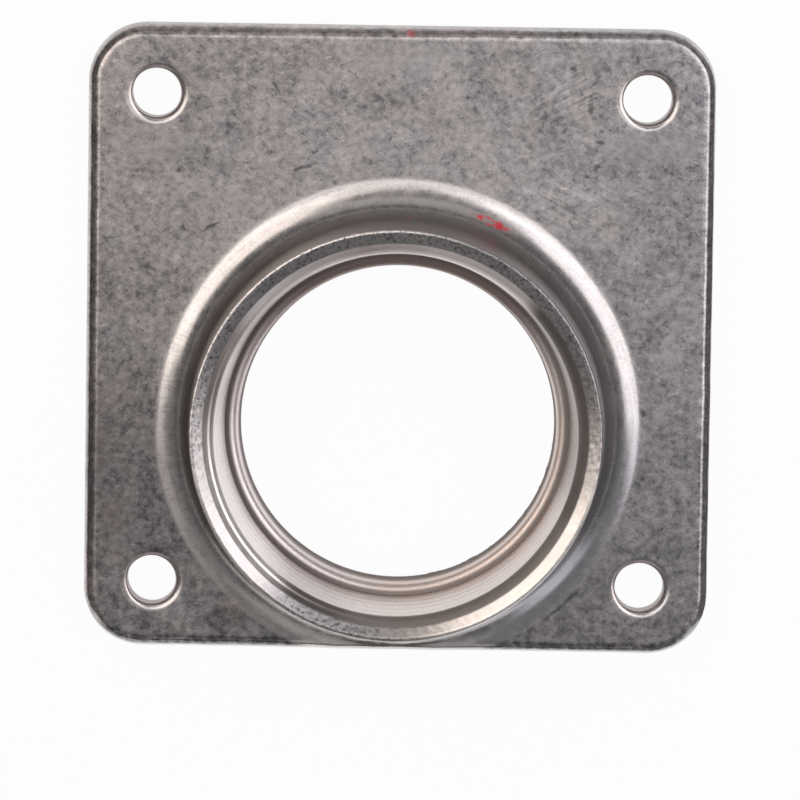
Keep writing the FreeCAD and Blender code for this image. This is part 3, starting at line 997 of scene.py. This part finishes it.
paper = bpy.data.materials.new("white_paper")
sheet = Finish(paper)
camera_ray, mirror_ray, through_ray = sheet.add(
    "ShaderNodeLightPath", {}, {}, ["Is Camera Ray", "Is Glossy Ray", "Is Transmission Ray"])
glow = sheet.add("ShaderNodeEmission", {}, {"Color": (1, 1, 1, 1), "Strength": 1.0})
matt = sheet.add("ShaderNodeBsdfDiffuse", {}, {"Color": (0.85, 0.85, 0.85, 1)})
paper_place = sheet.add("ShaderNodeTexCoord", {}, {}, "Object")
paper_ways = sheet.add("ShaderNodeSeparateXYZ", {}, {0: paper_place}, ["X", "Y"])
clear_of_holes = sheet.rise(hole_distance(*[way / MM for way in paper_ways]), HOLE + 0.325, HOLE + 1.325)
whiteness = WHITE_IN_HOLES + (1 - WHITE_IN_HOLES) * clear_of_holes
shown = (camera_ray + (mirror_ray + through_ray) * whiteness) * PAPER_WHITE
paper_look = sheet.add("ShaderNodeMixShader", {}, {0: shown, 1: matt, 2: glow})
sheet.add("ShaderNodeOutputMaterial", {}, {"Surface": paper_look})
floor_mesh.materials.append(paper)
print("floor", PAPER_WHITE, "white")

# %% [markdown]
# ## Black card
# Shiny metal takes its edges from what it mirrors. A photographer lays black card round such a part, so
# its rounded edges read as dark lines. A strip of white paper stays bare between the card and the part on
# all sides but one, and the plate's sides mirror that. At the collar's end of the plate the card lies far
# off, so that edge mirrors the paper as a pale lip, and a painted reflection in the metal's colour adds to
# it. Behind the wide end the card is pale. Here it is a flat ring that only mirror rays can see.

# %% Card round the part
WIDE_STRIP, NARROW_STRIP, FAR_OFF = 4.0, 0.4, 130
CARD_RADIUS, CARD_HEIGHT = 220.0, -0.1

bare_strip = WIDE_STRIP - (WIDE_STRIP - NARROW_STRIP) * soft_step(0.5, 0.9, ray_x)
card_inner = turned(reach(-bare_strip) + FAR_OFF * soft_step(0.53, 0.62, -ray_y), CARD_HEIGHT)
card_outer = turned(CARD_RADIUS, CARD_HEIGHT)
card_mesh = bpy.data.meshes.new("black_card")
card_faces = [(ray, (ray + 1) % RAYS, (ray + 1) % RAYS + RAYS, ray + RAYS) for ray in range(RAYS)]
card_mesh.from_pydata((np.concatenate([card_inner, card_outer]) / 1000).tolist(), [], card_faces)
card = bpy.data.objects.new("black_card", card_mesh)
bpy.context.scene.collection.objects.link(card)
for kind in ("camera", "diffuse", "transmission", "volume_scatter", "shadow"):
    setattr(card, "visible_" + kind, False)
print("card of", len(card_faces), "faces")

# %% Card's finish
felt = bpy.data.materials.new("black_card")
cloth = Finish(felt)
card_place = cloth.add("ShaderNodeTexCoord", {}, {}, "Object")
card_ways = cloth.add("ShaderNodeSeparateXYZ", {}, {0: card_place}, ["X", "Y"])
card_east, card_north = [way / MM for way in card_ways]
pale_share = cloth.rise(card_north, 36, 44) * cloth.rise(card_east, -50, -36)
pale_share = pale_share + cloth.rise(card_east, 38, 44) * 0.3
dark = cloth.add("ShaderNodeBsdfDiffuse", {}, {"Color": (0.16, 0.145, 0.14, 1)})
pale = cloth.add("ShaderNodeBsdfDiffuse", {}, {"Color": (0.52, 0.50, 0.50, 1)})
card_look = cloth.add("ShaderNodeMixShader", {}, {0: pale_share, 1: dark, 2: pale})
cloth.add("ShaderNodeOutputMaterial", {}, {"Surface": card_look})
card_mesh.materials.append(felt)
print("card dark, and pale behind the wide end")

# %% [markdown]
# ## Lamps
# Two square soft boxes hang high at the left and the right, behind the part as the camera sees it. They
# make the two broad highlights on the flare. The left one is a little warm, and a weak one beside it draws
# its highlight further round. Another hangs close over the wide end of the plate, so the plate darkens away
# from it. Three weak ones stand low, at the right, in front and behind.

# %% Lamps
# Name, degrees from +Z and from +X, distance, width and depth in metres, radiance and colour.
SOFT_BOXES = [
    ("lamp_left", 39, 146, 0.45, 0.35, 0.315, 1.55, (1.0, 0.925, 0.86)),
    ("lamp_side", 30, 190, 0.45, 0.30, 0.22, 0.2, (1.0, 0.95, 0.9)),
    ("lamp_right", 35, 20, 0.45, 0.36, 0.315, 1.6, (0.985, 0.96, 0.99)),
    ("lamp_top", 11, 90, 0.45, 0.30, 0.20, 0.95, (1.0, 0.98, 0.97)),
    ("lamp_low", 76, -50, 0.5, 0.18, 0.27, 0.75, (0.93, 0.95, 1.0)),
    ("lamp_front", 60, -100, 0.6, 0.5, 0.35, 0.22, (1.0, 0.97, 0.96)),
    ("lamp_back", 62, 90, 0.6, 0.6, 0.3, 0.28, (1.0, 0.98, 0.97))]

for name, polar, azimuth, distance, width, depth, radiance, tinge in SOFT_BOXES:
    lean, turn = math.radians(polar), math.radians(azimuth)
    way = Vector((math.sin(lean) * math.cos(turn), math.sin(lean) * math.sin(turn), math.cos(lean)))
    lamp = bpy.data.lights.new(name, "AREA")
    lamp.shape = "RECTANGLE"
    lamp.size, lamp.size_y = width, depth
    lamp.energy = radiance * math.pi * width * depth
    lamp.color = tinge
    holder = bpy.data.objects.new(name, lamp)
    holder.location = way * distance
    holder.rotation_euler = way.to_track_quat("Z", "Y").to_euler()
    bpy.context.scene.collection.objects.link(holder)
    print(name, "at", [round(v, 2) for v in holder.location])

# %% [markdown]
# ## World
# Between the lamps the metal mirrors the room. A world of one grey would do for a matt part. Here it is
# darker towards the horizon, as a studio is, so that steep faces are darker than flat ones.

# %% Grey room
world = bpy.data.worlds.new("studio")
bpy.context.scene.world = world
sky = Finish(world)
direction = sky.add("ShaderNodeTexCoord", {}, {}, "Generated")
above_horizon = sky.add("ShaderNodeSeparateXYZ", {}, {0: direction}, "Z")
walls = sky.add("ShaderNodeBackground", {}, {"Color": (1.0, 0.97, 0.97, 1), "Strength": 0.11})
ceiling = sky.add("ShaderNodeBackground", {}, {"Color": (1.0, 0.98, 0.98, 1), "Strength": 0.235})
air = sky.add("ShaderNodeMixShader", {}, {0: sky.rise(above_horizon, 0.1, 0.6), 1: walls, 2: ceiling})
sky.add("ShaderNodeOutputWorld", {}, {"Surface": air})
print("grey room, darker towards the horizon")

# %% [markdown]
# ## Camera
# The camera looks almost straight down the collar, from a little behind the wide end of the plate, with a
# long lens. Its turn is built from a tilt, a swing and a spin, because each can be measured by itself: the
# rim's shift against the throat gives the tilt and the swing, the plate's edges give the spin.

# %% Camera
TILT, SWING, SPIN = math.radians(6.07), math.radians(-0.58), math.radians(-0.85)
EYE = (0.000156, -0.0081, 0.914)
LENS, SENSOR = 315.8, 36

gaze = Matrix.Rotation(SPIN, 3, "Z") @ Matrix.Rotation(TILT, 3, "X") @ Matrix.Rotation(SWING, 3, "Y")
gaze.transpose()
camera = bpy.data.objects.new("camera", bpy.data.cameras.new("camera"))
camera.data.lens, camera.data.sensor_width = LENS, SENSOR
camera.matrix_world = Matrix.Translation(gaze @ Vector(EYE)) @ gaze.to_4x4()
bpy.context.scene.collection.objects.link(camera)
bpy.context.scene.camera = camera
bpy.context.scene.view_settings.view_transform = "Standard"
print("camera at", [round(v, 3) for v in camera.matrix_world.translation])
